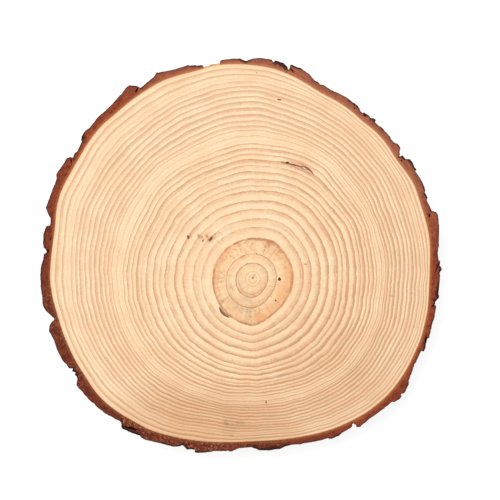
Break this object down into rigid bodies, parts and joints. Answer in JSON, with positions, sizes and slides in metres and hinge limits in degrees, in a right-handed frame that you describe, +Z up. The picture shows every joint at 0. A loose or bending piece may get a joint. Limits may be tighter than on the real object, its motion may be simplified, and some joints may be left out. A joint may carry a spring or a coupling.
{
  "type": "wood slice",
  "caption": "Flat round slice of a softwood log, with growth rings on its sawn faces and a ring of scaly brown bark round its edge.",
  "frame": {"origin": "middle of the slice's outline, on its lower sawn face", "axes": "+Z up out of the upper sawn face, +Y towards the top of the picture, +X to its right"},
  "size_m": [0.252, 0.2485, 0.025],
  "materials": {
    "wood": "sawn and sanded, unvarnished",
    "bark": "rough, scaly and matt"
  },
  "bodies": {
    "root": {"wood": "wood", "bark": "bark"}
  },
  "joints": []
}
